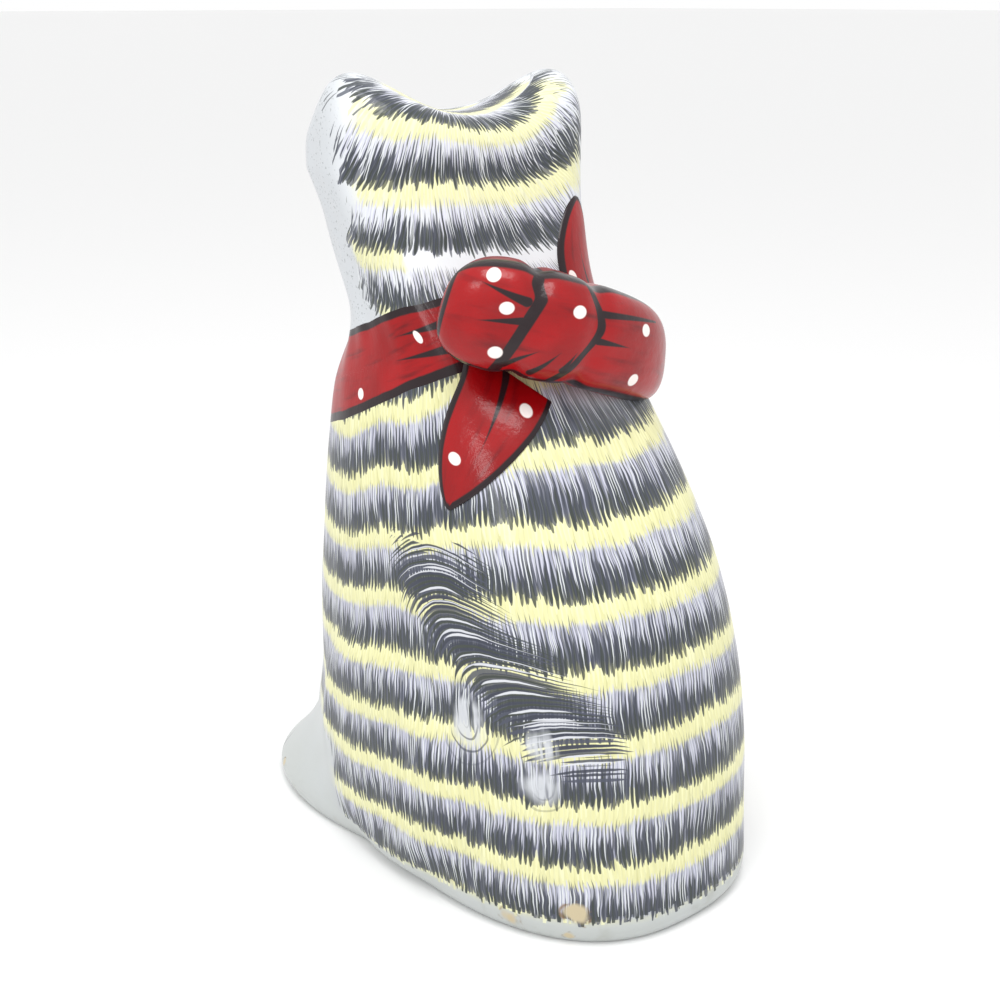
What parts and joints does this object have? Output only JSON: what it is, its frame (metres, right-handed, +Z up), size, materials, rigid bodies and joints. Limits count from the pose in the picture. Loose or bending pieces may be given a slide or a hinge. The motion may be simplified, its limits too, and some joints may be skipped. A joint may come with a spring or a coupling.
{
  "type": "papier-mache cat ornament",
  "caption": "Seated papier-mache cat ornament with brush-painted fur rings and a moulded red dotted ribbon bow at the nape.",
  "frame": {"origin": "centre of the bounding box, on the flat underside that it stands on", "axes": "+Z up; the cat faces -Y and its left side is +X"},
  "size_m": [0.1478, 0.2212, 0.2994],
  "materials": {
    "painted_paper": "gloss varnish over brush paint"
  },
  "bodies": {
    "root": {"cat": "painted_paper"}
  },
  "joints": []
}
